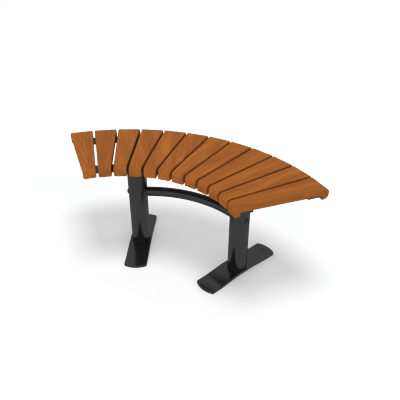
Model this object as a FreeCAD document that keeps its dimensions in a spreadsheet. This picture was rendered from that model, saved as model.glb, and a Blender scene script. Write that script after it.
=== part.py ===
import FreeCAD, Part
import math
import os
import Sketcher
from FreeCAD import Rotation, Vector

# A quarter ring tree bench. Twelve wedge-shaped hardwood slats lie on two curved flat bars,
# which two radial arms join to a pair of round posts. Each post stands on a long foot plate
# with a raised crown, and a bowed round stretcher ties the posts together.
# Row frame: +Z up from the floor, +X along the chord, +Y from the tree outwards,
# with the origin on the floor at the middle of the bench's own footprint.

# Driving dimensions, in millimetres and degrees
SIZES = {
    "seat_height": 450,
    "outer_radius": 749,
    "inner_radius": 406,
    "arc_angle": 90,
    "slat_count": 12,
    "slat_gap": 9,
    "slat_thickness": 25,
    "slat_edge_radius": 4,
    "rim_top_radius": 16,
    "rim_face_height": 4,
    "rim_flank_radius": 21,
    "rim_inner_radius": 4,
    "nose_radius": 15,
    "lip_depth": 40,
    "lip_thickness": 24,
    "lip_front_radius": 6,
    "lip_back_radius": 4,
    "inner_rail_width": 45,
    "outer_rail_width": 45,
    "rail_thickness": 10,
    "rail_clearance": 0.5,
    "rail_end_angle": 1.25,
    "post_spread": 45,
    "post_circle_radius": 578,
    "post_diameter": 76.1,
    "post_wall": 3.6,
    "arm_width": 40,
    "arm_thickness": 10,
    "arm_end_setback": 4,
    "arm_corner_radius": 8,
    "head_plate_length": 150,
    "head_plate_width": 80,
    "head_plate_thickness": 8,
    "head_plate_corner_radius": 12,
    "head_bolt_spacing": 112,
    "head_bolt_diameter": 10,
    "head_bolt_flats": 16,
    "head_bolt_head_height": 6.4,
    "head_washer_diameter": 20,
    "head_washer_thickness": 2,
    "foot_length": 376,
    "foot_width": 90,
    "foot_thickness": 10,
    "foot_rise": 8.5,
    "foot_crown_length": 92,
    "foot_slope_length": 83,
    "foot_bend_radius": 150,
    "foot_end_bow": 12,
    "foot_corner_radius": 6,
    "foot_edge_radius": 1.5,
    "anchor_spacing": 315,
    "anchor_hole_diameter": 11,
    "stretcher_height": 248,
    "stretcher_diameter": 38,
    "stretcher_wall": 3,
    "stretcher_bend_radius": 426,
    "insert_length": 22,
    "insert_setback": 1,
    "stretcher_bolt_diameter": 10,
    "bolt_head_diameter": 20,
    "bolt_head_height": 4.5,
    "bolt_head_rim": 1,
    "bolt_head_flat_diameter": 9,
    "bolt_head_dome_radius": 9,
    "bolt_socket_flats": 6,
    "bolt_socket_depth": 2.8,
    "saddle_washer_diameter": 22,
    "saddle_washer_thickness": 1,
    "slat_screw_diameter": 5,
    "slat_screw_length": 24,
    "slat_screw_tip": 5,
    "slat_screw_head_diameter": 10,
    "slat_screw_head_height": 3.4,
    "slat_screw_head_rim": 1,
    "slat_screw_socket_flats": 3,
    "slat_screw_socket_depth": 1.8,
    "outer_screw_spacing": 36,
    "hole_clearance": 0.5,
    "fit_clearance": 0.1,
    "insert_clearance": 0.2,
}

# How far a cutting outline runs past what it cuts
CUT_MARGIN = 20
# How far from a face a point may lie and still count as on it
TOUCH = 0.01
# The least cosine between two directions that count as the same
ALIGNED = 0.99
# The least vertical part of the unit normal of a face that counts as a top face
LOOKS_UP = 0.5
HEXAGON_SIDES = 6

document = FreeCAD.newDocument("tree_bench")
sheet = document.addObject("Spreadsheet::Sheet", "Sizes")
for row, (size_name, size_value) in enumerate(SIZES.items(), start=1):
    sheet.set(f"A{row}", size_name)
    sheet.set(f"B{row}", str(size_value))
    sheet.setAlias(f"B{row}", size_name)
document.recompute()

# Sizes worked out from the driving dimensions, as expressions
PITCH = "(Sizes.arc_angle / Sizes.slat_count)"
HALF_PITCH = "(Sizes.arc_angle / Sizes.slat_count / 2)"
FIRST_SLAT_ANGLE = "((Sizes.arc_angle - Sizes.arc_angle / Sizes.slat_count) / 2)"
UNDERSIDE = "(Sizes.seat_height - Sizes.slat_thickness)"
LIP_BOTTOM = "(Sizes.seat_height - Sizes.lip_depth)"
LIP_BACK = "(Sizes.inner_radius + Sizes.lip_thickness)"

# The rim's section: a top arc, a narrow upright face, a flank arc, a small arc and an inner wall
RIM_FACE_TOP = "(Sizes.seat_height - Sizes.rim_top_radius)"
RIM_FACE_BOTTOM = f"({RIM_FACE_TOP} - Sizes.rim_face_height)"
RIM_LOWEST = "(Sizes.outer_radius - Sizes.rim_flank_radius)"
RIM_BOTTOM = f"({RIM_FACE_BOTTOM} - Sizes.rim_flank_radius)"
RIM_INSIDE = f"({RIM_LOWEST} - Sizes.rim_inner_radius)"

RAIL_BOTTOM = f"({UNDERSIDE} - Sizes.rail_thickness)"
ARM_BOTTOM = f"({RAIL_BOTTOM} - Sizes.arm_thickness)"
HEAD_PLATE_BOTTOM = f"({ARM_BOTTOM} - Sizes.head_plate_thickness)"
FOOT_TOP = "(Sizes.foot_rise + Sizes.foot_thickness)"
POST_RADIUS = "(Sizes.post_diameter / 2)"
POST_ANGLE = "(Sizes.post_spread / 2)"


def half_width(radius):
    """Half of a slat's width at a distance from the ring's centre, with straight gaps."""
    return f"(({radius}) * tan({HALF_PITCH}) - Sizes.slat_gap / 2 / cos({HALF_PITCH}))"


INNER_RAIL_INSIDE = f"(sqrt({LIP_BACK} ^ 2 + {half_width(LIP_BACK)} ^ 2) + Sizes.rail_clearance)"
INNER_RAIL_OUTSIDE = f"({INNER_RAIL_INSIDE} + Sizes.inner_rail_width)"
INNER_RAIL_MIDDLE = f"({INNER_RAIL_INSIDE} + Sizes.inner_rail_width / 2)"
OUTER_RAIL_OUTSIDE = f"({RIM_INSIDE} - Sizes.rail_clearance)"
OUTER_RAIL_INSIDE = f"({OUTER_RAIL_OUTSIDE} - Sizes.outer_rail_width)"
OUTER_RAIL_MIDDLE = f"({OUTER_RAIL_OUTSIDE} - Sizes.outer_rail_width / 2)"

# The footprint's middle, as a distance from the ring's centre
NEAREST_CORNER = (
    f"(Sizes.inner_radius * cos({FIRST_SLAT_ANGLE})"
    f" - {half_width('Sizes.inner_radius')} * sin({FIRST_SLAT_ANGLE}))"
)
FARTHEST_CORNER = (
    f"(Sizes.outer_radius * cos({HALF_PITCH})"
    f" + {half_width('Sizes.outer_radius')} * sin({HALF_PITCH}))"
)
FOOTPRINT_MIDDLE = f"(({NEAREST_CORNER} + {FARTHEST_CORNER}) / 2)"

# The stretcher's ends run square to the feet and meet its bend without a kink
BEND_CENTRE = f"((Sizes.post_circle_radius - Sizes.stretcher_bend_radius) / cos({POST_ANGLE}))"
STRAIGHT_END = f"((Sizes.post_circle_radius - Sizes.stretcher_bend_radius) * tan({POST_ANGLE}))"


def number(expression):
    """The present value of an expression on the sheet."""
    return float(sheet.evalExpression(str(expression)))


def plane_of(body, role):
    """One of a body's own origin planes or axes."""
    return [feature for feature in body.Origin.OriginFeatures if feature.Role == role][0]


def bind(thing, path, expression):
    """Tie a property to an expression, and give it the expression's value."""
    thing.setExpression(path, str(expression))


def new_body(label):
    """An empty body named after its sub-part, free to hold several separate solids."""
    body = document.addObject("PartDesign::Body", label)
    body.Label = label
    body.AllowCompound = True
    return body


def new_sketch(body, name, role, turn=None, offset=(0, 0, 0)):
    """A sketch on an origin plane, turned about the body's Z axis and then moved."""
    sketch = body.newObject("Sketcher::SketchObject", name)
    sketch.AttachmentSupport = [(plane_of(body, role), "")]
    sketch.MapMode = "FlatFace"
    vertical = Vector(0, 0, 1) if role == "XY_Plane" else Vector(0, 1, 0)
    sketch.AttachmentOffset = FreeCAD.Placement(Vector(0, 0, 0), Rotation(vertical, 0))
    for letter, distance in zip("xyz", offset):
        if distance != 0:
            bind(sketch, f".AttachmentOffset.Base.{letter}", distance)
    if turn is not None:
        bind(sketch, ".AttachmentOffset.Rotation.Angle", turn)
    return sketch


def fix_point(sketch, geometry, position, x, y):
    """Drive a point's two coordinates from expressions."""
    for kind, expression in (("DistanceX", x), ("DistanceY", y)):
        value = number(expression)
        index = sketch.addConstraint(
            Sketcher.Constraint(kind, -1, 1, geometry, position, value)
        )
        bind(sketch, f"Constraints[{index}]", expression)


def fix_radius(sketch, geometry, radius):
    """Drive a circle's or an arc's radius from an expression."""
    index = sketch.addConstraint(Sketcher.Constraint("Radius", geometry, number(radius)))
    bind(sketch, f"Constraints[{index}]", radius)


def arc_between(start, end, radius, turn):
    """An arc of less than half a turn; turn is 1 anticlockwise and -1 clockwise."""
    chord = end - start
    across = Vector(-chord.y, chord.x, 0).normalize() * turn
    centre = start + chord * 0.5 + across * math.sqrt(max(radius**2 - chord.Length**2 / 4, 0))
    circle = Part.Circle(centre, Vector(0, 0, 1), radius)
    first, last = (start, end) if turn > 0 else (end, start)
    return Part.ArcOfCircle(circle, circle.parameter(first), circle.parameter(last))


def outline(sketch, corners):
    """A closed outline. A corner is (x, y), or (x, y, radius, turn) when an arc leads to it."""
    places = [Vector(number(corner[0]), number(corner[1]), 0) for corner in corners]
    ends = []
    for index, corner in enumerate(corners):
        start = places[index - 1]
        end = places[index]
        if len(corner) == 2:
            geometry = sketch.addGeometry(Part.LineSegment(start, end), False)
            ends.append((geometry, 1, 2))
        else:
            arc = arc_between(start, end, number(corner[2]), corner[3])
            geometry = sketch.addGeometry(arc, False)
            ends.append((geometry, 1, 2) if corner[3] > 0 else (geometry, 2, 1))
    for index, corner in enumerate(corners):
        geometry, _, finish = ends[index]
        following, begin, _ = ends[(index + 1) % len(corners)]
        sketch.addConstraint(
            Sketcher.Constraint("Coincident", geometry, finish, following, begin)
        )
        fix_point(sketch, geometry, finish, corner[0], corner[1])
    for index, corner in enumerate(corners):
        if len(corner) > 2:
            fix_radius(sketch, ends[index][0], corner[2])


def circle(sketch, x, y, diameter):
    """A full circle."""
    centre = Vector(number(x), number(y), 0)
    radius = number(f"({diameter}) / 2")
    geometry = sketch.addGeometry(Part.Circle(centre, Vector(0, 0, 1), radius), False)
    fix_point(sketch, geometry, 3, x, y)
    fix_radius(sketch, geometry, f"({diameter}) / 2")


def hexagon(sketch, x, y, flats):
    """A regular hexagon, by its width across the flats."""
    turn = 360 / HEXAGON_SIDES
    reach = f"({flats}) / 2 / cos({turn / 2})"
    outline(
        sketch,
        [
            (f"({x}) + {reach} * cos({turn * side})", f"({y}) + {reach} * sin({turn * side})")
            for side in range(HEXAGON_SIDES)
        ],
    )


def box_outline(sketch, left, right, low, high):
    """An upright rectangle."""
    outline(sketch, [(left, low), (right, low), (right, high), (left, high)])


def rounded_box_outline(sketch, half_x, low, high, radius):
    """A rectangle about the sketch's vertical axis, with rounded corners."""
    inner = f"({half_x}) - ({radius})"
    outline(
        sketch,
        [
            (inner, low),
            (half_x, f"({low}) + ({radius})", radius, 1),
            (half_x, f"({high}) - ({radius})"),
            (inner, high, radius, 1),
            (f"-({inner})", high),
            (f"-({half_x})", f"({high}) - ({radius})", radius, 1),
            (f"-({half_x})", f"({low}) + ({radius})"),
            (f"-({inner})", low, radius, 1),
        ],
    )


def pad(body, sketch, length, symmetric=False):
    """Push a sketch out along its normal, or equally both ways."""
    feature = body.newObject("PartDesign::Pad", sketch.Name + "_pad")
    feature.Profile = sketch
    feature.SideType = "Symmetric" if symmetric else "One side"
    bind(feature, "Length", length)
    body.Tip = feature
    return feature


def pocket(body, sketch, length=None, upwards=False, symmetric=False):
    """Cut with a sketch, for a length or through everything."""
    feature = body.newObject("PartDesign::Pocket", sketch.Name + "_cut")
    feature.Profile = sketch
    feature.Reversed = upwards
    feature.SideType = "Symmetric" if symmetric else "One side"
    if length is None:
        feature.Type = "ThroughAll"
    else:
        bind(feature, "Length", length)
    body.Tip = feature
    return feature


def revolve(body, sketch, axis, angle=360, symmetric=False):
    """Turn a sketch about an axis."""
    feature = body.newObject("PartDesign::Revolution", sketch.Name + "_turned")
    feature.Profile = sketch
    feature.ReferenceAxis = axis
    feature.Midplane = symmetric
    bind(feature, "Angle", angle)
    body.Tip = feature
    return feature


def polar_pattern(body, originals, count, angle):
    """Repeat features clockwise about the body's Z axis, seen from above."""
    feature = body.newObject("PartDesign::PolarPattern", originals[0].Name + "_row")
    feature.Originals = originals
    feature.Axis = (plane_of(body, "Z_Axis"), [""])
    feature.Reversed = True
    bind(feature, "Occurrences", count)
    bind(feature, "Angle", angle)
    body.Tip = feature
    return feature


def mirror(body, originals, role):
    """Repeat features on the other side of an origin plane."""
    feature = body.newObject("PartDesign::Mirrored", originals[0].Name + "_mirrored")
    feature.Originals = originals
    feature.MirrorPlane = (plane_of(body, role), [""])
    body.Tip = feature
    return feature


def runs_along(edge, letter):
    """True for an edge that starts out along one of the axes."""
    return abs(getattr(edge.tangentAt(edge.FirstParameter), letter)) > ALIGNED


def vertical_part(face):
    """The vertical part of a face's unit normal, at the middle of the face."""
    first_u, last_u, first_v, last_v = face.ParameterRange
    return face.normalAt((first_u + last_u) / 2, (first_v + last_v) / 2).z


def fillet_edges(body, feature, radius, wanted, name):
    """Round the edges of the last feature for which wanted(edge) is true."""
    document.recompute()
    edges = [
        f"Edge{index}" for index, edge in enumerate(feature.Shape.Edges, start=1) if wanted(edge)
    ]
    rounding = body.newObject("PartDesign::Fillet", name)
    rounding.Base = (feature, edges)
    bind(rounding, "Radius", radius)
    body.Tip = rounding
    return rounding


def place_on_ring(body, angle=None):
    """Put a body's origin at the ring's centre, turned about it."""
    bind(body, ".Placement.Base.y", f"-{FOOTPRINT_MIDDLE}")
    if angle is not None:
        bind(body, ".Placement.Rotation.Angle", angle)


def place_at_post(body, side, half_turn=False):
    """Put a body's origin on the floor under a post; side is 1 on the left, -1 on the right."""
    bind(body, ".Placement.Base.x", f"-{side} * sin({POST_ANGLE}) * Sizes.post_circle_radius")
    bind(
        body,
        ".Placement.Base.y",
        f"cos({POST_ANGLE}) * Sizes.post_circle_radius - {FOOTPRINT_MIDDLE}",
    )
    extra = " + 180" if half_turn else ""
    bind(body, ".Placement.Rotation.Angle", f"{side} * {POST_ANGLE}{extra}")


def place_facing_stretcher(body, side):
    """As at a post, with the body's +X axis towards the stretcher."""
    place_at_post(body, side, half_turn=side < 0)


# Slats
def on_slat_side(edge):
    """True for an edge that lies in one of a slat's two wedge faces."""
    slope = math.tan(math.radians(number(HALF_PITCH)))
    offset = number("Sizes.slat_gap / 2") / math.cos(math.radians(number(HALF_PITCH)))
    points = edge.discretize(5)
    return all(abs(abs(point.x) - point.y * slope + offset) < TOUCH for point in points)


def make_slat(number_in_row):
    """A wedge-shaped board with a rounded nose and lip inside and a rounded rim outside."""
    body = new_body(f"slat_{number_in_row:02d}")
    profile = new_sketch(body, "slat_profile", "YZ_Plane")
    outline(
        profile,
        [
            (f"{LIP_BACK} - Sizes.lip_back_radius", LIP_BOTTOM),
            (LIP_BACK, f"{LIP_BOTTOM} + Sizes.lip_back_radius", "Sizes.lip_back_radius", 1),
            (LIP_BACK, UNDERSIDE),
            (RIM_INSIDE, UNDERSIDE),
            (RIM_INSIDE, f"{RIM_BOTTOM} + Sizes.rim_inner_radius"),
            (RIM_LOWEST, RIM_BOTTOM, "Sizes.rim_inner_radius", 1),
            ("Sizes.outer_radius", RIM_FACE_BOTTOM, "Sizes.rim_flank_radius", 1),
            ("Sizes.outer_radius", RIM_FACE_TOP),
            (
                "Sizes.outer_radius - Sizes.rim_top_radius",
                "Sizes.seat_height",
                "Sizes.rim_top_radius",
                1,
            ),
            ("Sizes.inner_radius + Sizes.nose_radius", "Sizes.seat_height"),
            ("Sizes.inner_radius", "Sizes.seat_height - Sizes.nose_radius", "Sizes.nose_radius", 1),
            ("Sizes.inner_radius", f"{LIP_BOTTOM} + Sizes.lip_front_radius"),
            (
                "Sizes.inner_radius + Sizes.lip_front_radius",
                LIP_BOTTOM,
                "Sizes.lip_front_radius",
                1,
            ),
        ],
    )
    board = pad(body, profile, f"2 * {half_width('Sizes.outer_radius')}", symmetric=True)
    near = f"Sizes.inner_radius - {CUT_MARGIN}"
    far = f"Sizes.outer_radius + {CUT_MARGIN}"
    beside = f"{half_width('Sizes.outer_radius')} + {CUT_MARGIN}"
    wedge = new_sketch(body, "slat_wedge", "XY_Plane")
    outline(
        wedge,
        [(half_width(near), near), (beside, near), (beside, far), (half_width(far), far)],
    )
    right_cut = pocket(body, wedge, upwards=True)
    both_cuts = mirror(body, [right_cut], "YZ_Plane")
    fillet_edges(body, both_cuts, "Sizes.slat_edge_radius", on_slat_side, "slat_long_edges")
    holes = new_sketch(body, "slat_pilot_holes", "XY_Plane", offset=(0, 0, UNDERSIDE))
    diameter = "Sizes.slat_screw_diameter + 2 * Sizes.fit_clearance"
    circle(holes, 0, INNER_RAIL_MIDDLE, diameter)
    circle(holes, "Sizes.outer_screw_spacing / 2", OUTER_RAIL_MIDDLE, diameter)
    circle(holes, "-Sizes.outer_screw_spacing / 2", OUTER_RAIL_MIDDLE, diameter)
    pocket(
        body,
        holes,
        "Sizes.slat_screw_length - Sizes.rail_thickness + Sizes.fit_clearance",
        upwards=True,
    )
    place_on_ring(body, f"{FIRST_SLAT_ANGLE} - {number_in_row - 1} * {PITCH}")
    return body


# Seat frame
def make_rail(label, inside, outside, middle, screw_offsets):
    """A flat bar bent to the ring, with a hole for each slat screw."""
    body = new_body(label)
    section = new_sketch(body, label + "_section", "YZ_Plane")
    box_outline(section, inside, outside, RAIL_BOTTOM, UNDERSIDE)
    axis = (plane_of(body, "Z_Axis"), [""])
    revolve(body, section, axis, "Sizes.arc_angle - 2 * Sizes.rail_end_angle", symmetric=True)
    holes = new_sketch(body, label + "_holes", "XY_Plane", turn=FIRST_SLAT_ANGLE)
    for across in screw_offsets:
        circle(holes, across, middle, "Sizes.slat_screw_diameter + Sizes.hole_clearance")
    first = pocket(body, holes, upwards=True)
    polar_pattern(body, [first], "Sizes.slat_count", f"Sizes.arc_angle - {PITCH}")
    place_on_ring(body)
    return body


def make_slat_screws(label, middle, screw_offsets):
    """The pan-head screws that hold the slats down on one rail, as separate solids."""
    body = new_body(label)
    head_radius = "Sizes.slat_screw_head_diameter / 2"
    shank_radius = "Sizes.slat_screw_diameter / 2"
    dome = "Sizes.slat_screw_head_height - Sizes.slat_screw_head_rim"
    dome_radius = f"(({head_radius}) ^ 2 + ({dome}) ^ 2) / (2 * ({dome}))"
    features = []
    for count, across in enumerate(screw_offsets, start=1):
        profile = new_sketch(
            body, f"{label}_profile_{count}", "YZ_Plane", offset=(middle, RAIL_BOTTOM, across)
        )
        outline(
            profile,
            [
                (0, "-Sizes.slat_screw_head_height"),
                (head_radius, "-Sizes.slat_screw_head_rim", dome_radius, 1),
                (head_radius, 0),
                (shank_radius, 0),
                (shank_radius, "Sizes.slat_screw_length - Sizes.slat_screw_tip"),
                (0, "Sizes.slat_screw_length"),
            ],
        )
        features.append(revolve(body, profile, (profile, ["V_Axis"])))
        socket = new_sketch(
            body,
            f"{label}_socket_{count}",
            "XY_Plane",
            offset=(0, 0, f"{RAIL_BOTTOM} - Sizes.slat_screw_head_height"),
        )
        hexagon(socket, across, middle, "Sizes.slat_screw_socket_flats")
        features.append(pocket(body, socket, "Sizes.slat_screw_socket_depth", upwards=True))
    polar_pattern(body, features, "Sizes.slat_count", f"Sizes.arc_angle - {PITCH}")
    place_on_ring(body, FIRST_SLAT_ANGLE)
    return body


def head_bolt_places():
    """Where the two bolts of a head plate stand, as distances from the ring's centre."""
    return [
        "Sizes.post_circle_radius - Sizes.head_bolt_spacing / 2",
        "Sizes.post_circle_radius + Sizes.head_bolt_spacing / 2",
    ]


def make_arm(label, side):
    """A flat radial bar under both rails, tapped for the head plate's bolts."""
    body = new_body(label)
    plan = new_sketch(body, label + "_plan", "XY_Plane", offset=(0, 0, ARM_BOTTOM))
    rounded_box_outline(
        plan,
        "Sizes.arm_width / 2",
        f"{INNER_RAIL_INSIDE} + Sizes.arm_end_setback",
        f"{OUTER_RAIL_OUTSIDE} - Sizes.arm_end_setback",
        "Sizes.arm_corner_radius",
    )
    pad(body, plan, "Sizes.arm_thickness")
    holes = new_sketch(body, label + "_holes", "XY_Plane", offset=(0, 0, ARM_BOTTOM))
    for place in head_bolt_places():
        circle(holes, 0, place, "Sizes.head_bolt_diameter + 2 * Sizes.fit_clearance")
    pocket(body, holes, upwards=True)
    place_on_ring(body, f"{side} * {POST_ANGLE}")
    return body


# Post assemblies
def make_head_plate(label, side):
    """The plate on top of a post that the arm is bolted to."""
    body = new_body(label)
    plan = new_sketch(body, label + "_plan", "XY_Plane", offset=(0, 0, HEAD_PLATE_BOTTOM))
    rounded_box_outline(
        plan,
        "Sizes.head_plate_width / 2",
        "-Sizes.head_plate_length / 2",
        "Sizes.head_plate_length / 2",
        "Sizes.head_plate_corner_radius",
    )
    pad(body, plan, "Sizes.head_plate_thickness")
    holes = new_sketch(body, label + "_holes", "XY_Plane", offset=(0, 0, HEAD_PLATE_BOTTOM))
    for way in (-1, 1):
        circle(
            holes,
            0,
            f"{way} * Sizes.head_bolt_spacing / 2",
            "Sizes.head_bolt_diameter + 2 * Sizes.hole_clearance",
        )
    pocket(body, holes, upwards=True)
    place_at_post(body, side)
    return body


def make_head_bolts():
    """Two hexagon bolts up through each head plate into its arm, as separate solids."""
    body = new_body("head_plate_bolts")
    seat = f"{HEAD_PLATE_BOTTOM} - Sizes.head_washer_thickness"
    heads = new_sketch(
        body, "bolt_heads", "XY_Plane", offset=(0, 0, f"{seat} - Sizes.head_bolt_head_height")
    )
    shanks = new_sketch(body, "bolt_shanks", "XY_Plane", offset=(0, 0, seat))
    for place in head_bolt_places():
        hexagon(heads, 0, place, "Sizes.head_bolt_flats")
        circle(shanks, 0, place, "Sizes.head_bolt_diameter")
    head = pad(body, heads, "Sizes.head_bolt_head_height")
    grip = "Sizes.head_washer_thickness + Sizes.head_plate_thickness + Sizes.arm_thickness"
    shank = pad(body, shanks, f"{grip} - Sizes.hole_clearance")
    polar_pattern(body, [head, shank], 2, "Sizes.post_spread")
    place_on_ring(body, POST_ANGLE)
    return body


def make_head_washers():
    """The flat washers under the head plates' bolts, as separate solids."""
    body = new_body("head_plate_washers")
    rings = new_sketch(
        body,
        "washer_rings",
        "XY_Plane",
        offset=(0, 0, f"{HEAD_PLATE_BOTTOM} - Sizes.head_washer_thickness"),
    )
    for place in head_bolt_places():
        circle(rings, 0, place, "Sizes.head_washer_diameter")
        circle(rings, 0, place, "Sizes.head_bolt_diameter + Sizes.hole_clearance")
    ring = pad(body, rings, "Sizes.head_washer_thickness")
    polar_pattern(body, [ring], 2, "Sizes.post_spread")
    place_on_ring(body, POST_ANGLE)
    return body


def make_post(label, side):
    """A round tube from the foot plate to the head plate, drilled for the stretcher's bolt."""
    body = new_body(label)
    section = new_sketch(body, label + "_section", "XY_Plane", offset=(0, 0, FOOT_TOP))
    circle(section, 0, 0, "Sizes.post_diameter")
    circle(section, 0, 0, "Sizes.post_diameter - 2 * Sizes.post_wall")
    pad(body, section, f"{HEAD_PLATE_BOTTOM} - {FOOT_TOP}")
    cross_hole = new_sketch(body, label + "_cross_hole", "YZ_Plane")
    circle(
        cross_hole,
        0,
        "Sizes.stretcher_height",
        "Sizes.stretcher_bolt_diameter + 2 * Sizes.hole_clearance",
    )
    pocket(body, cross_hole, "2 * Sizes.post_diameter", symmetric=True)
    place_facing_stretcher(body, side)
    return body


def make_foot_plate(label, side):
    """A flat bar with a raised crown under the post and bowed ends, drilled for anchors."""
    body = new_body(label)
    half_crown = "Sizes.foot_crown_length / 2"
    tab_start = "Sizes.foot_crown_length / 2 + Sizes.foot_slope_length"
    tip = "Sizes.foot_length / 2"
    # Each bend starts this far from its corner on the flat side, and ends this far along
    # and up or down on the sloping side
    slope = "atan(Sizes.foot_rise / Sizes.foot_slope_length)"
    reach = f"Sizes.foot_bend_radius * tan({slope} / 2)"
    along = f"{reach} * cos({slope})"
    climb = f"{reach} * sin({slope})"
    radius = "Sizes.foot_bend_radius"
    thickness = "Sizes.foot_thickness"
    rise = "Sizes.foot_rise"
    bar = new_sketch(body, label + "_profile", "YZ_Plane")
    outline(
        bar,
        [
            (f"-({tab_start}) - {reach}", 0),
            (f"-({tab_start}) + {along}", climb, radius, 1),
            (f"-({half_crown}) - {along}", f"{rise} - {climb}"),
            (f"-({half_crown}) + {reach}", rise, radius, -1),
            (f"{half_crown} - {reach}", rise),
            (f"{half_crown} + {along}", f"{rise} - {climb}", radius, -1),
            (f"{tab_start} - {along}", climb),
            (f"{tab_start} + {reach}", 0, radius, 1),
            (tip, 0),
            (tip, thickness),
            (f"{tab_start} + {reach}", thickness),
            (f"{tab_start} - {along}", f"{thickness} + {climb}", radius, -1),
            (f"{half_crown} + {along}", f"{FOOT_TOP} - {climb}"),
            (f"{half_crown} - {reach}", FOOT_TOP, radius, 1),
            (f"-({half_crown}) + {reach}", FOOT_TOP),
            (f"-({half_crown}) - {along}", f"{FOOT_TOP} - {climb}", radius, 1),
            (f"-({tab_start}) + {along}", f"{thickness} + {climb}"),
            (f"-({tab_start}) - {reach}", thickness, radius, -1),
            (f"-({tip})", thickness),
            (f"-({tip})", 0),
        ],
    )
    pad(body, bar, "Sizes.foot_width", symmetric=True)

    half = "Sizes.foot_width / 2"
    corner = f"{tip} - Sizes.foot_end_bow"
    bow_radius = "((Sizes.foot_width / 2) ^ 2 + Sizes.foot_end_bow ^ 2) / (2 * Sizes.foot_end_bow)"
    beyond = f"{tip} + {CUT_MARGIN}"
    beside = f"{half} + {CUT_MARGIN}"
    end_trim = new_sketch(body, label + "_end_trim", "XY_Plane")
    outline(
        end_trim,
        [
            (half, corner, bow_radius, -1),
            (beside, corner),
            (beside, beyond),
            (f"-({beside})", beyond),
            (f"-({beside})", corner),
            (f"-({half})", corner),
        ],
    )
    outer_end = pocket(body, end_trim, upwards=True)
    ends = mirror(body, [outer_end], "XZ_Plane")

    corner_place = number(corner)
    half_place = number(half)

    def is_corner(edge):
        middle = edge.CenterOfMass
        on_side = abs(abs(middle.x) - half_place) < TOUCH
        at_trim = abs(abs(middle.y) - corner_place) < TOUCH
        return runs_along(edge, "z") and on_side and at_trim

    cornered = fillet_edges(body, ends, "Sizes.foot_corner_radius", is_corner, label + "_corners")

    def is_top_edge(edge):
        faces = cornered.Shape.ancestorsOfType(edge, Part.Face)
        normals = [vertical_part(face) for face in faces]
        return max(normals) > LOOKS_UP and min(abs(normal) for normal in normals) < TOUCH

    fillet_edges(body, cornered, "Sizes.foot_edge_radius", is_top_edge, label + "_top_edges")

    anchors = new_sketch(body, label + "_anchor_holes", "XY_Plane")
    for way in (-1, 1):
        circle(anchors, 0, f"{way} * Sizes.anchor_spacing / 2", "Sizes.anchor_hole_diameter")
    pocket(body, anchors, upwards=True)
    place_at_post(body, side)
    return body


# Stretcher
def make_stretcher():
    """A round tube, bent to one radius between two straight ends that butt on the posts."""
    body = new_body("stretcher_tube")
    bore = "Sizes.stretcher_diameter - 2 * Sizes.stretcher_wall"
    middle = new_sketch(body, "stretcher_section", "YZ_Plane")
    end = new_sketch(body, "stretcher_end_section", "YZ_Plane", turn=f"-{POST_ANGLE}")
    for sketch in (middle, end):
        circle(
            sketch,
            "Sizes.stretcher_bend_radius",
            "Sizes.stretcher_height",
            "Sizes.stretcher_diameter",
        )
        circle(sketch, "Sizes.stretcher_bend_radius", "Sizes.stretcher_height", bore)
    axis = (plane_of(body, "Z_Axis"), [""])
    revolve(body, middle, axis, "Sizes.post_spread", symmetric=True)
    straight = pad(body, end, STRAIGHT_END)
    cope = new_sketch(body, "stretcher_cope", "XY_Plane")
    circle(
        cope,
        f"Sizes.post_circle_radius * sin({POST_ANGLE})",
        f"Sizes.post_circle_radius * cos({POST_ANGLE}) - {BEND_CENTRE}",
        "Sizes.post_diameter",
    )
    seat = pocket(body, cope, upwards=True)
    mirror(body, [straight, seat], "YZ_Plane")
    bind(body, ".Placement.Base.y", f"{BEND_CENTRE} - {FOOTPRINT_MIDDLE}")
    return body


def make_stretcher_insert(label, side):
    """The tapped plug welded inside an end of the stretcher."""
    body = new_body(label)
    start = f"{POST_RADIUS} + Sizes.insert_setback"
    section = new_sketch(body, label + "_section", "YZ_Plane", offset=(0, 0, start))
    bore = "Sizes.stretcher_diameter - 2 * Sizes.stretcher_wall"
    circle(section, 0, "Sizes.stretcher_height", f"{bore} - 2 * Sizes.insert_clearance")
    circle(
        section,
        0,
        "Sizes.stretcher_height",
        "Sizes.stretcher_bolt_diameter + 2 * Sizes.fit_clearance",
    )
    pad(body, section, "Sizes.insert_length")
    place_facing_stretcher(body, side)
    return body


def make_saddle_washer(label, side):
    """A round washer whose inner face is hollowed to sit on the post."""
    body = new_body(label)
    outside = f"{POST_RADIUS} + Sizes.saddle_washer_thickness"
    disc = new_sketch(body, label + "_disc", "YZ_Plane", offset=(0, 0, f"-({outside})"))
    circle(disc, 0, "Sizes.stretcher_height", "Sizes.saddle_washer_diameter")
    circle(
        disc,
        0,
        "Sizes.stretcher_height",
        "Sizes.stretcher_bolt_diameter + 2 * Sizes.hole_clearance",
    )
    pad(body, disc, f"Sizes.saddle_washer_thickness + {POST_RADIUS} / 2")
    hollow = new_sketch(body, label + "_hollow", "XY_Plane")
    circle(hollow, 0, 0, "Sizes.post_diameter")
    pocket(body, hollow, upwards=True)
    place_facing_stretcher(body, side)
    return body


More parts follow.
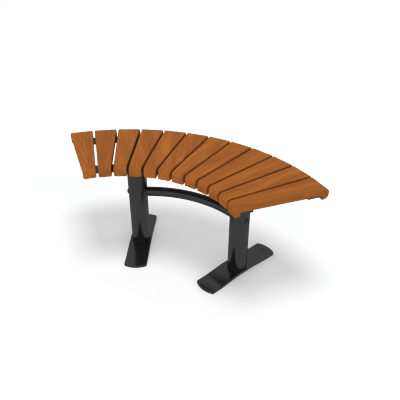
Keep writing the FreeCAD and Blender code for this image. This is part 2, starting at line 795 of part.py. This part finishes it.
def make_stretcher_bolt(label, side):
    """A button-head bolt through the post into the stretcher's insert."""
    body = new_body(label)
    under_head = f"-({POST_RADIUS} + Sizes.saddle_washer_thickness)"
    top_of_head = f"{under_head} - Sizes.bolt_head_height"
    tip = f"{POST_RADIUS} + Sizes.insert_setback + Sizes.insert_length"
    profile = new_sketch(
        body, label + "_profile", "XY_Plane", offset=(0, 0, "Sizes.stretcher_height")
    )
    outline(
        profile,
        [
            (top_of_head, 0),
            (tip, 0),
            (tip, "Sizes.stretcher_bolt_diameter / 2"),
            (under_head, "Sizes.stretcher_bolt_diameter / 2"),
            (under_head, "Sizes.bolt_head_diameter / 2"),
            (f"{under_head} - Sizes.bolt_head_rim", "Sizes.bolt_head_diameter / 2"),
            (top_of_head, "Sizes.bolt_head_flat_diameter / 2", "Sizes.bolt_head_dome_radius", 1),
        ],
    )
    revolve(body, profile, (profile, ["H_Axis"]))
    socket = new_sketch(body, label + "_socket", "YZ_Plane", offset=(0, 0, top_of_head))
    hexagon(socket, 0, "Sizes.stretcher_height", "Sizes.bolt_socket_flats")
    pocket(body, socket, "Sizes.bolt_socket_depth", upwards=True)
    place_facing_stretcher(body, side)
    return body


def build():
    """Make every sub-part."""
    parts = [make_slat(place) for place in range(1, int(number("Sizes.slat_count")) + 1)]
    outer_offsets = ["Sizes.outer_screw_spacing / 2", "-Sizes.outer_screw_spacing / 2"]
    parts.append(
        make_rail("inner_rail", INNER_RAIL_INSIDE, INNER_RAIL_OUTSIDE, INNER_RAIL_MIDDLE, [0])
    )
    parts.append(
        make_rail(
            "outer_rail",
            OUTER_RAIL_INSIDE,
            OUTER_RAIL_OUTSIDE,
            OUTER_RAIL_MIDDLE,
            outer_offsets,
        )
    )
    parts.append(make_slat_screws("inner_slat_screws", INNER_RAIL_MIDDLE, [0]))
    parts.append(make_slat_screws("outer_slat_screws", OUTER_RAIL_MIDDLE, outer_offsets))
    for hand, side in (("left", 1), ("right", -1)):
        parts.append(make_arm(hand + "_arm", side))
        parts.append(make_head_plate(hand + "_head_plate", side))
        parts.append(make_post(hand + "_post", side))
        parts.append(make_foot_plate(hand + "_foot_plate", side))
        parts.append(make_stretcher_insert(hand + "_stretcher_insert", side))
        parts.append(make_saddle_washer(hand + "_saddle_washer", side))
        parts.append(make_stretcher_bolt(hand + "_stretcher_bolt", side))
    parts.append(make_stretcher())
    parts.append(make_head_bolts())
    parts.append(make_head_washers())
    return parts


def check(parts):
    """Stop if any object failed or any sub-part lacks a valid solid."""
    for thing in document.Objects:
        if "Invalid" in thing.State or "Error" in thing.State:
            raise RuntimeError(f"{thing.Label} failed: {thing.State}")
    for part in parts:
        if part.Shape.isNull() or not part.Shape.isValid() or not part.Shape.Solids:
            raise RuntimeError(f"{part.Label} has no valid solid")


sub_parts = build()
document.recompute()
check(sub_parts)
os.makedirs("parts", exist_ok=True)
for part in sub_parts:
    part.Shape.exportStep(f"parts/{part.Label}.step")
print(len(sub_parts), "sub-parts written")
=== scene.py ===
import math

import bmesh
import bpy
from mathutils import Matrix, Vector


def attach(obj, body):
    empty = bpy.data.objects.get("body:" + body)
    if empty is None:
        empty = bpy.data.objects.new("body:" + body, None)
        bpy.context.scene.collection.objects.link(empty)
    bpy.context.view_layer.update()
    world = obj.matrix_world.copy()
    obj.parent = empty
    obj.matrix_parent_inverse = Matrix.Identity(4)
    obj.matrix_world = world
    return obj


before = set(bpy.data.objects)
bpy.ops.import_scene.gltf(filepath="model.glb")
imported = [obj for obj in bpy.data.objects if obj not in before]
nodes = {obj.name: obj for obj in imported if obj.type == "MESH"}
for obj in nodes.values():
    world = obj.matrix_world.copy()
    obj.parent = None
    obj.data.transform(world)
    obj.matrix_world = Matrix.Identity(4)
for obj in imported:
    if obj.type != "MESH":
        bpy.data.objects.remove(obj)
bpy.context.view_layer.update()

# A quarter ring tree bench: hardwood slats on a gloss black steel frame, on a white studio floor.
# Everything is in metres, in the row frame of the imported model.

# Camera, fitted to the photograph's edges of the slats, posts and feet
CAMERA_PLACE = Vector((0.68988, -1.36797, 1.23476))
CAMERA_YAW = 24.617
CAMERA_DOWN = 32.168
CAMERA_ROLL = 0.349
SENSOR_WIDTH = 36
FOCAL_LENGTH = 42.135
NEAREST_SEEN = 0.05
FARTHEST_SEEN = 100
FILTER_WIDTH = 1.1

# Light: bright studio walls under a dim ceiling, one broad round lamp overhead, and the
# calm pale surroundings that the gloss reflects. The lamp's place and size come from the
# width, shift and softness of the seat's shadow.
WALL_STRENGTH = 1.9
CEILING_STRENGTH = 0.1
SKY_IN_GLOSS = 0.90
FLOOR_IN_GLOSS = 0.80
FLOOR_REACH = 30
FLOOR_COLOUR = (0.59, 0.597, 0.6)
FLOOR_GLOW = 0.265
# The glow that the floor gains towards its far parts, and where that starts and ends
FAR_GLOW = 0.25
NEAR_FLOOR = 1.0
FAR_FLOOR = 3.5
LAMP_POWER = 6.5
LAMP_DIAMETER = 1.47
LAMP_PLACE = Vector((0.344, -0.587, 3.75))

# Each slat's figure, from the left end of the seat: how golden (above 0) or red (below 0) it is,
# how strong its broad zones and its fine streaks are, and its grain's slant in degrees
SLAT_FIGURES = (
    (0.06, 0.70, 1.35, 1),
    (-0.04, 0.42, 1.00, -2),
    (-0.03, 0.55, 0.75, 2),
    (0.03, 0.50, 0.70, 12),
    (0.04, 0.55, 0.70, 15),
    (0.01, 0.95, 0.85, 14),
    (0.05, 1.05, 0.75, 4),
    (-0.03, 0.58, 0.70, -3),
    (0.01, 0.62, 0.82, 3),
    (0.01, 0.58, 0.80, -2),
    (0.03, 0.64, 0.85, 4),
    (0.01, 0.45, 0.80, -4),
)
# The middle of the tone scale, which is an average slat's colour, and the scale's display colours
MIDDLE_TONE = 0.67
WOOD_TONES = (
    (0.36, (112, 58, 29)),
    (0.46, (122, 68, 33)),
    (0.57, (133, 77, 35)),
    (0.67, (142, 83, 38)),
    (0.77, (151, 89, 41)),
    (0.89, (162, 98, 43)),
    (1.00, (173, 106, 47)),
)
# The layers of the figure: repeats per metre across, along and down through a slat, then the
# noise's detail, roughness and distortion
WOOD_LAYERS = {
    "broad": ((24, 3.5, 24), 2.0, 0.5, 0.6),
    "bands": ((95, 4.0, 95), 2.0, 0.5, 0.9),
    "streaks": ((260, 9, 260), 2.0, 0.55, 0.6),
    "flecks": ((330, 90, 330), 3.0, 0.65, 0.5),
    "fibres": ((800, 30, 800), 3.0, 0.6, 0.3),
    "pores": ((1500, 60, 1500), 2.0, 0.5, 0.0),
}
# Each layer's share of the tone. A slat's strength of streaks multiplies the first two, and its
# strength of broad zones is that layer's own share.
BANDS_SHARE = 0.36
STREAKS_SHARE = 0.38
FLECKS_SHARE = 0.30
FIBRES_SHARE = 0.34
# Pores show where their noise passes from the first value to the second. The share of their
# display colour is multiplied by the slat's strength of streaks too.
PORE_RANGE = (0.58, 0.70)
PORE_COLOUR = (98, 52, 34)
PORE_SHARE = 0.3
# How often the grain wanders to the side, and how far in metres
WANDER_REPEATS = (8, 5, 8)
WANDER_REACH = 0.03
# How far each slat's figure is shifted from the last one's, in metres
FIGURE_SHIFT = (0.37, 1.13, 0.71)

# The display colours of the coat and of the steel, where their clouds are darkest and lightest
COAT_COLOURS = ((22, 22, 23), (27, 27, 28))
STEEL_COLOURS = ((150, 150, 148), (184, 185, 186))
# The repeats per metre of their clouds and of their fine texture
COAT_CLOUDS = 30.0
COAT_PEEL = 260.0
STEEL_CLOUDS = 180.0
STEEL_MARKS = 900.0
# The steel's turning marks lie closer together along an upright screw than round it
MARK_STRETCH = (1, 1, 12)
# The part of a noise's range that holds most of it, and the roughness over that part
CLOUD_RANGE = (0.3, 0.7)
WOOD_ROUGHNESS = (0.5, 0.6)
COAT_ROUGHNESS = (0.12, 0.17)
STEEL_ROUGHNESS = (0.28, 0.45)
# The relief of each surface: its strength, and its depth in metres
WOOD_RELIEF = (0.25, 0.0006)
COAT_RELIEF = (0.06, 0.0005)
STEEL_RELIEF = (0.15, 0.0002)
# The oil leaves hardly any gloss: the wood's even sheen is part of its colours
WOOD_SPECULAR = 0.005
# The coat's refractive index, and the share of light that it reflects straight on. Towards grazing
# angles that share grows by a part of what plain lacquer's does, up to a limit.
COAT_IOR = 1.5
COAT_SHEEN = 0.0425
COAT_GROWTH = 0.125
COAT_LIMIT = 0.07
# The angles, in degrees from straight on, at which the coat's specular level is worked out, and
# how often the search for each level halves its range
COAT_ANGLES = (0, 40, 50, 58, 65, 70, 75, 80, 85)
SEARCH_STEPS = 30

# Weld beads, in metres: the legs of the section, and how deep it reaches into the metal
BEAD_LEG = 0.0034
FOOT_BEAD_LEG = 0.0008
BEAD_ROOT = 0.0004
# How far the face of a bead and its ripples swell, as shares of the leg, and how much they lean
BEAD_SWELL = 0.2
RIPPLE_SHARE = 0.07
RIPPLE_LEAN = 0.7
# The ripples' pitch, the length over which an end tapers, and the share of the leg lost there
RIPPLE_PITCH = 0.003
BEAD_TAPER = 0.003
BEAD_END_LOSS = 0.6
BEAD_FACETS = 6
STEPS_PER_RIPPLE = 6
# How far the beads on an arm stay from its ends
BEAD_SETBACK = 3 * BEAD_LEG


def make_camera():
    """A level camera turned about the vertical, tilted down and rolled a little."""
    data = bpy.data.cameras.new("camera")
    data.sensor_width = SENSOR_WIDTH
    data.lens = FOCAL_LENGTH
    data.clip_start = NEAREST_SEEN
    data.clip_end = FARTHEST_SEEN
    camera = bpy.data.objects.new("camera", data)
    turn = Matrix.Rotation(math.radians(CAMERA_YAW), 4, "Z")
    tilt = Matrix.Rotation(math.radians(90 - CAMERA_DOWN), 4, "X")
    roll = Matrix.Rotation(math.radians(CAMERA_ROLL), 4, "Z")
    camera.matrix_world = Matrix.Translation(CAMERA_PLACE) @ turn @ tilt @ roll
    bpy.context.scene.collection.objects.link(camera)
    bpy.context.scene.camera = camera


class Tree:
    """A node tree that is filled by short calls, each of which gives the node's output."""

    def __init__(self, tree):
        self.tree = tree
        self.tree.nodes.clear()

    def node(self, kind, settings=None, **inputs):
        """A node with its settings, and its inputs joined to sockets or set to values."""
        made = self.tree.nodes.new(kind)
        for name, value in (settings or {}).items():
            setattr(made, name, value)
        for name, value in inputs.items():
            self.put(made.inputs[name.replace("_", " ")], value)
        return made

    def put(self, socket, value):
        """Join a socket to another, or give it a value."""
        if isinstance(value, bpy.types.NodeSocket):
            self.tree.links.new(value, socket)
        else:
            socket.default_value = value

    def math(self, operation, first, second):
        """One arithmetic step."""
        made = self.tree.nodes.new("ShaderNodeMath")
        made.operation = operation
        self.put(made.inputs[0], first)
        self.put(made.inputs[1], second)
        return made.outputs[0]

    def noise(self, vector, scale=1.0, detail=2.0, roughness=0.5, distortion=0.0):
        """Fractal noise about 0.5."""
        made = self.tree.nodes.new("ShaderNodeTexNoise")
        self.put(made.inputs["Vector"], vector)
        self.put(made.inputs["Scale"], scale)
        self.put(made.inputs["Detail"], detail)
        self.put(made.inputs["Roughness"], roughness)
        self.put(made.inputs["Distortion"], distortion)
        return made.outputs["Fac"]

    def stretch(self, vector, factors):
        """A vector scaled on each axis."""
        made = self.tree.nodes.new("ShaderNodeVectorMath")
        made.operation = "MULTIPLY"
        self.put(made.inputs[0], vector)
        made.inputs[1].default_value = factors
        return made.outputs[0]

    def add(self, vector, other):
        """The sum of two vectors."""
        made = self.tree.nodes.new("ShaderNodeVectorMath")
        made.operation = "ADD"
        self.put(made.inputs[0], vector)
        self.put(made.inputs[1], other)
        return made.outputs[0]

    def ramp(self, factor, stops):
        """A colour ramp from (place, colour) stops."""
        made = self.tree.nodes.new("ShaderNodeValToRGB")
        self.put(made.inputs[0], factor)
        points = made.color_ramp.elements
        while len(points) < len(stops):
            points.new(0.5)
        for point, (place, colour) in zip(points, stops):
            point.position = place
            point.color = (*colour, 1)
        return made.outputs[0]

    def span(self, value, low, high, to_low=0.0, to_high=1.0):
        """A value mapped from one range to another, and held inside it."""
        made = self.tree.nodes.new("ShaderNodeMapRange")
        made.clamp = True
        for place, item in enumerate((value, low, high, to_low, to_high)):
            self.put(made.inputs[place], item)
        return made.outputs[0]

    def mix(self, factor, first, second):
        """Two colours mixed."""
        made = self.tree.nodes.new("ShaderNodeMix")
        made.data_type = "RGBA"
        self.put(made.inputs[0], factor)
        self.put(made.inputs[6], first)
        self.put(made.inputs[7], second)
        return made.outputs[2]

    def bump(self, height, relief):
        """The normal of a surface with a height map and a relief of (strength, depth)."""
        strength, depth = relief
        made = self.node("ShaderNodeBump", Strength=strength, Distance=depth, Height=height)
        return made.outputs[0]

    def surface(self, shader):
        """Join a shader to the material's output."""
        out = self.node("ShaderNodeOutputMaterial")
        self.put(out.inputs[0], shader.outputs[0])


def new_material(name):
    """An empty material, and the node tree to fill."""
    material = bpy.data.materials.new(name)
    material.use_nodes = True
    return material, Tree(material.node_tree)


def srgb(red, green, blue):
    """A linear colour from display values of 0 to 255, by the standard display curve."""

    def linear(value):
        share = value / 255
        return share / 12.92 if share <= 0.04045 else ((share + 0.055) / 1.055) ** 2.4

    return linear(red), linear(green), linear(blue)


def cloud_stops(colours):
    """The stops of a ramp that spreads two display colours over most of a noise's range."""
    return [(place, srgb(*colour)) for place, colour in zip(CLOUD_RANGE, colours)]


def wood_material(number, direction, centre):
    """Oiled hardwood whose grain runs along one slat."""
    golden, zones, streakiness, slant = SLAT_FIGURES[number - 1]
    material, tree = new_material(f"slat_{number:02}_wood")
    place = tree.node("ShaderNodeTexCoord").outputs["Object"]
    # The slat's own frame: X across, Y along the grain, Z up
    local = tree.node(
        "ShaderNodeMapping",
        {"vector_type": "TEXTURE"},
        Vector=place,
        Location=centre,
        Rotation=(0, 0, direction + math.radians(slant)),
    ).outputs[0]
    shifted = tree.add(local, tuple(number * step for step in FIGURE_SHIFT))
    wander = tree.math("SUBTRACT", tree.noise(tree.stretch(shifted, WANDER_REPEATS)), 0.5)
    sideways = tree.math("MULTIPLY", wander, WANDER_REACH)
    aside = tree.node("ShaderNodeCombineXYZ", X=sideways).outputs[0]
    grain_place = tree.add(shifted, aside)
    layers = {}
    for layer, (repeats, detail, roughness, distortion) in WOOD_LAYERS.items():
        layers[layer] = tree.noise(
            tree.stretch(grain_place, repeats),
            detail=detail,
            roughness=roughness,
            distortion=distortion,
        )
    pore_mask = tree.span(layers["pores"], *PORE_RANGE)
    tone = MIDDLE_TONE + golden
    for layer, share in (
        ("broad", zones),
        ("bands", BANDS_SHARE * streakiness),
        ("streaks", STREAKS_SHARE * streakiness),
        ("flecks", FLECKS_SHARE),
        ("fibres", FIBRES_SHARE),
    ):
        about_zero = tree.math("SUBTRACT", layers[layer], 0.5)
        tone = tree.math("ADD", tone, tree.math("MULTIPLY", about_zero, share))
    colour = tree.ramp(tone, [(stop, srgb(*shown)) for stop, shown in WOOD_TONES])
    colour = tree.mix(
        tree.math("MULTIPLY", pore_mask, PORE_SHARE * streakiness),
        colour,
        (*srgb(*PORE_COLOUR), 1),
    )
    height = tree.math(
        "SUBTRACT",
        tree.math("MULTIPLY", layers["fibres"], 0.5),
        tree.math("MULTIPLY", pore_mask, 0.5),
    )
    shader = tree.node(
        "ShaderNodeBsdfPrincipled",
        Base_Color=colour,
        Specular_IOR_Level=WOOD_SPECULAR,
        Roughness=tree.span(layers["bands"], *CLOUD_RANGE, *WOOD_ROUGHNESS),
        Normal=tree.bump(height, WOOD_RELIEF),
    )
    tree.surface(shader)
    return material


def reflectance(cosine, ior):
    """The share of light that a clear surface reflects, for the cosine of the light's angle."""
    bent = math.sqrt(ior**2 - 1 + cosine**2)
    flat = (cosine - bent) / (cosine + bent)
    upright = (ior**2 * cosine - bent) / (ior**2 * cosine + bent)
    return (flat**2 + upright**2) / 2


def coat_level(angle):
    """What plain lacquer reflects at an angle, and the specular level that the coat has there."""
    cosine = math.cos(math.radians(angle))
    plain = reflectance(cosine, COAT_IOR)
    straight_on = reflectance(1, COAT_IOR)
    wanted = min(COAT_SHEEN + COAT_GROWTH * (plain - straight_on), COAT_LIMIT)
    least, most = 1, 2 * COAT_IOR
    for _ in range(SEARCH_STEPS):
        ior = (least + most) / 2
        if reflectance(cosine, ior) < wanted:
            least = ior
        else:
            most = ior
    return plain, ((ior - 1) / (ior + 1)) ** 2 / (2 * straight_on)


def coat_material():
    """Gloss black powder coat with a faint orange-peel ripple."""
    material, tree = new_material("frame_coat")
    place = tree.node("ShaderNodeTexCoord").outputs["Object"]
    peel = tree.noise(place, COAT_PEEL)
    clouds = tree.noise(place, COAT_CLOUDS, detail=3.0)
    grazing = tree.node("ShaderNodeFresnel", IOR=COAT_IOR).outputs[0]
    level_stops = [(stop, (level, level, level)) for stop, level in map(coat_level, COAT_ANGLES)]
    shader = tree.node(
        "ShaderNodeBsdfPrincipled",
        Base_Color=tree.ramp(clouds, cloud_stops(COAT_COLOURS)),
        Specular_IOR_Level=tree.ramp(grazing, level_stops),
        Roughness=tree.span(clouds, *CLOUD_RANGE, *COAT_ROUGHNESS),
        Normal=tree.bump(peel, COAT_RELIEF),
    )
    tree.surface(shader)
    return material


def steel_material():
    """Zinc-plated steel with fine turning marks and a patchy sheen."""
    material, tree = new_material("screw_steel")
    place = tree.node("ShaderNodeTexCoord").outputs["Object"]
    clouds = tree.noise(place, STEEL_CLOUDS, detail=3.0, roughness=0.6)
    marks = tree.noise(tree.stretch(place, MARK_STRETCH), STEEL_MARKS)
    shader = tree.node(
        "ShaderNodeBsdfPrincipled",
        Base_Color=tree.ramp(clouds, cloud_stops(STEEL_COLOURS)),
        Metallic=1.0,
        Roughness=tree.span(clouds, *CLOUD_RANGE, *STEEL_ROUGHNESS),
        Normal=tree.bump(marks, STEEL_RELIEF),
    )
    tree.surface(shader)
    return material


def wear(piece, material):
    """Give an object one material."""
    piece.data.materials.clear()
    piece.data.materials.append(material)


def long_axis(piece):
    """How far a slat's or an arm's long axis is turned from the Y axis, and its points' middle."""
    points = [vertex.co for vertex in piece.data.vertices]
    centre = sum(points, Vector()) / len(points)
    spread_xx = sum((p.x - centre.x) ** 2 for p in points)
    spread_yy = sum((p.y - centre.y) ** 2 for p in points)
    spread_xy = sum((p.x - centre.x) * (p.y - centre.y) for p in points)
    angle = 0.5 * math.atan2(2 * spread_xy, spread_xx - spread_yy)
    return angle - math.pi / 2, centre


def bead_section(leg):
    """A bead's outline: distances out along the plate and up the wall, from their corner."""
    outline = [(-BEAD_ROOT, -BEAD_ROOT), (leg, -BEAD_ROOT)]
    for step in range(BEAD_FACETS + 1):
        share = step / BEAD_FACETS
        swell = BEAD_SWELL * leg * math.sin(math.pi * share)
        outline.append((leg * (1 - share) + swell, leg * share + swell))
    outline.append((-BEAD_ROOT, leg))
    return outline


def ripple(phase):
    """How far a bead swells at a phase of its ripple, as a share of its leg."""
    turn = 2 * math.pi * phase
    return RIPPLE_SHARE * math.sin(turn + RIPPLE_LEAN * math.sin(turn))


def add_bead(name, rows, closed, coat):
    """A weld bead through a row of sections; an open bead is closed by two end faces."""
    shell = bmesh.new()
    rings = [[shell.verts.new(point) for point in row] for row in rows]
    pairs = list(zip(rings, rings[1:]))
    if closed:
        pairs.append((rings[-1], rings[0]))
    for first, second in pairs:
        for place in range(len(first)):
            before = place - 1
            shell.faces.new((first[before], first[place], second[place], second[before]))
    if not closed:
        shell.faces.new(rings[0])
        shell.faces.new(rings[-1])
    bmesh.ops.recalc_face_normals(shell, faces=shell.faces)
    for face in shell.faces:
        face.smooth = True
    mesh = bpy.data.meshes.new(name)
    shell.to_mesh(mesh)
    shell.free()
    bead = bpy.data.objects.new(name, mesh)
    bpy.context.scene.collection.objects.link(bead)
    wear(bead, coat)
    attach(bead, "root")


def add_ring_bead(name, middle, radius, height, upwards, size, coat):
    """A bead round a post where it meets a plate; upwards is 1 above the plate, -1 below it."""
    ripples = round(2 * math.pi * radius / RIPPLE_PITCH)
    rows = []
    for step in range(ripples * STEPS_PER_RIPPLE):
        angle = 2 * math.pi * step / (ripples * STEPS_PER_RIPPLE)
        outward = Vector((math.cos(angle), math.sin(angle), 0))
        leg = size * (1 + ripple(step / STEPS_PER_RIPPLE))
        rows.append(
            [
                Vector((middle.x, middle.y, height))
                + outward * (radius + out)
                + Vector((0, 0, upwards * up))
                for out, up in bead_section(leg)
            ]
        )
    add_bead(name, rows, True, coat)


def add_straight_bead(name, start, end, outward, coat):
    """A bead along an arm's side, in the corner under a rail."""
    length = (end - start).length
    steps = round(length / RIPPLE_PITCH) * STEPS_PER_RIPPLE
    rows = []
    for step in range(steps + 1):
        travel = length * step / steps
        to_end = max(0.0, 1 - min(travel, length - travel) / BEAD_TAPER)
        taper = 1 - BEAD_END_LOSS * to_end**2
        leg = BEAD_LEG * (1 + ripple(step / STEPS_PER_RIPPLE)) * taper
        place = start + (end - start) * (step / steps)
        rows.append(
            [place + outward * out - Vector((0, 0, up)) for out, up in bead_section(leg)]
        )
    add_bead(name, rows, False, coat)


def extent(values):
    """The least and the greatest of some numbers."""
    values = list(values)
    return min(values), max(values)


def add_welds(coat):
    """The beads that join the posts to their plates and the arms to the rails."""
    for hand in ("left", "right"):
        points = [vertex.co for vertex in nodes[hand + "_post"].data.vertices]
        west, east = extent(point.x for point in points)
        south, north = extent(point.y for point in points)
        bottom, top = extent(point.z for point in points)
        middle = Vector(((west + east) / 2, (south + north) / 2, 0))
        radius = (east - west) / 2
        add_ring_bead(hand + "_foot_weld", middle, radius, bottom, 1, FOOT_BEAD_LEG, coat)
        add_ring_bead(hand + "_head_weld", middle, radius, top, -1, BEAD_LEG, coat)

        angle, centre = long_axis(nodes[hand + "_arm"])
        along = Vector((-math.sin(angle), math.cos(angle), 0))
        # The ring's centre, where the arm's line crosses the Y axis
        hub = centre - along * (centre.x / along.x)
        if along.y < 0:
            along = -along
        across = Vector((along.y, -along.x, 0))
        arm_points = [vertex.co for vertex in nodes[hand + "_arm"].data.vertices]
        half_width = extent((point - hub).dot(across) for point in arm_points)[1]
        near_end, far_end = extent((point - hub).dot(along) for point in arm_points)
        arm_top = extent(point.z for point in arm_points)[1]
        for ring in ("inner", "outer"):
            rail_points = [vertex.co for vertex in nodes[ring + "_rail"].data.vertices]
            near, far = extent((point - hub).xy.length for point in rail_points)
            near = max(near, near_end + BEAD_SETBACK)
            far = min(far, far_end - BEAD_SETBACK)
            for count, side in enumerate((-1, 1), start=1):
                corner = Vector((hub.x, hub.y, arm_top)) + across * (side * half_width)
                add_straight_bead(
                    f"{hand}_arm_{ring}_weld_{count}",
                    corner + along * near,
                    corner + along * far,
                    across * side,
                    coat,
                )


def dress_nodes(coat):
    """Give each CAD node its finish."""
    steel = steel_material()
    for name, piece in sorted(nodes.items()):
        if name.startswith("slat_"):
            direction, centre = long_axis(piece)
            wear(piece, wood_material(int(name[-2:]), direction, centre))
        elif name.endswith(("_screws", "plate_bolts", "plate_washers")):
            wear(piece, steel)
        else:
            wear(piece, coat)


def make_floor():
    """A plain white floor, seen without its shadows in the gloss of the frame."""
    mesh = bpy.data.meshes.new("floor")
    signs = ((-1, -1), (1, -1), (1, 1), (-1, 1))
    corners = [(east * FLOOR_REACH, north * FLOOR_REACH, 0) for east, north in signs]
    mesh.from_pydata(corners, [], [(0, 1, 2, 3)])
    floor = bpy.data.objects.new("floor", mesh)
    bpy.context.scene.collection.objects.link(floor)
    material, tree = new_material("floor_white")
    diffuse = tree.node("ShaderNodeBsdfDiffuse", Color=(*FLOOR_COLOUR, 1)).outputs[0]
    place = tree.node("ShaderNodeTexCoord").outputs["Object"]
    distance = tree.node("ShaderNodeVectorMath", {"operation": "LENGTH"}, Vector=place)
    strength = tree.span(
        distance.outputs["Value"], NEAR_FLOOR, FAR_FLOOR, FLOOR_GLOW, FLOOR_GLOW + FAR_GLOW
    )
    glow = tree.node("ShaderNodeEmission", Strength=strength).outputs[0]
    matt = tree.node("ShaderNodeAddShader")
    tree.put(matt.inputs[0], diffuse)
    tree.put(matt.inputs[1], glow)
    even = tree.node("ShaderNodeEmission", Strength=FLOOR_IN_GLOSS).outputs[0]
    in_gloss = tree.node("ShaderNodeLightPath").outputs["Is Glossy Ray"]
    either = tree.node("ShaderNodeMixShader", Fac=in_gloss)
    tree.put(either.inputs[1], matt.outputs[0])
    tree.put(either.inputs[2], even)
    tree.surface(either)
    floor.data.materials.append(material)


def make_light():
    """The room's walls and ceiling, a calm view of them for the gloss, and the broad lamp."""
    world = bpy.data.worlds.new("sky")
    bpy.context.scene.world = world
    world.use_nodes = True
    tree = Tree(world.node_tree)
    in_gloss = tree.node("ShaderNodeLightPath").outputs["Is Glossy Ray"]
    outward = tree.node("ShaderNodeTexCoord").outputs["Generated"]
    height = tree.node("ShaderNodeSeparateXYZ", Vector=outward).outputs["Z"]
    room = tree.span(height, 0.0, 1.0, WALL_STRENGTH, CEILING_STRENGTH)
    strength = tree.span(in_gloss, 0.0, 1.0, room, SKY_IN_GLOSS)
    sky = tree.node("ShaderNodeBackground", Color=(1, 1, 1, 1), Strength=strength)
    out = tree.node("ShaderNodeOutputWorld")
    tree.put(out.inputs[0], sky.outputs[0])
    data = bpy.data.lights.new("lamp", "AREA")
    data.shape = "DISK"
    data.size = LAMP_DIAMETER
    data.energy = LAMP_POWER
    data.use_nodes = True
    tree = Tree(data.node_tree)
    even = tree.node("ShaderNodeLightFalloff", Strength=1.0).outputs["Constant"]
    glow = tree.node("ShaderNodeEmission", Strength=even)
    out = tree.node("ShaderNodeOutputLight")
    tree.put(out.inputs[0], glow.outputs[0])
    lamp = bpy.data.objects.new("lamp", data)
    lamp.location = LAMP_PLACE
    lamp.visible_glossy = False
    bpy.context.scene.collection.objects.link(lamp)


make_camera()
black_coat = coat_material()
dress_nodes(black_coat)
add_welds(black_coat)
make_floor()
make_light()
bpy.context.scene.view_settings.view_transform = "Standard"
bpy.context.scene.cycles.filter_width = FILTER_WIDTH
